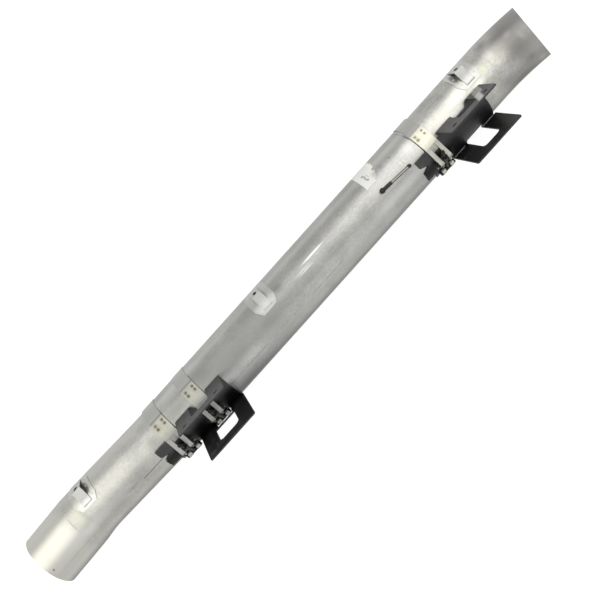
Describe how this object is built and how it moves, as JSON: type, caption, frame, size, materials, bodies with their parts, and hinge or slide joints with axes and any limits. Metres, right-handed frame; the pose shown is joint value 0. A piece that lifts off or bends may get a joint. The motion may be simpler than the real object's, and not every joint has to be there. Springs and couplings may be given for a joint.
{
  "type": "exhaust pipe",
  "caption": "Straight steel exhaust pipe in lapped lengths, with T-bolt band clamps, folded mounting brackets, heat-shield stand-offs and a hanger pin.",
  "frame": {"origin": "centre of the inlet mouth", "axes": "+X along the main tube towards the outlet, +Z the side that the brackets rise from, +Y the side of the stand-offs"},
  "size_m": [1.4916, 0.1747, 0.213],
  "materials": {
    "tube_steel": "bare brushed stainless steel with faint heat tint at the bend",
    "band_steel": "bright rolled stainless strip",
    "bracket_paint": "satin black paint on folded sheet",
    "fastener_black": "black oxide, slightly oily",
    "standoff_steel": "plain bright pressed steel",
    "pin_steel": "plain drawn steel"
  },
  "bodies": {
    "root": {"inlet_tube": "tube_steel", "main_tube": "tube_steel", "outlet_tube": "tube_steel", "lower_bracket": "bracket_paint", "lower_window_plate": "bracket_paint", "upper_bracket": "bracket_paint", "upper_window_plate": "bracket_paint", "inlet_joint_band": "band_steel", "inlet_joint_t_bolt": "fastener_black", "inlet_joint_trunnion": "fastener_black", "inlet_joint_lock_nut": "fastener_black", "bracket_band": "band_steel", "bracket_t_bolt": "fastener_black", "bracket_trunnion": "fastener_black", "bracket_lock_nut": "fastener_black", "outlet_joint_band": "band_steel", "outlet_joint_t_bolt": "fastener_black", "outlet_joint_trunnion": "fastener_black", "outlet_joint_lock_nut": "fastener_black", "inlet_standoff_pad": "standoff_steel", "inlet_standoff": "standoff_steel", "middle_standoff_pad": "standoff_steel", "middle_standoff": "standoff_steel", "outlet_standoff_pad": "standoff_steel", "outlet_standoff": "standoff_steel", "hanger_pin": "pin_steel"}
  },
  "joints": []
}
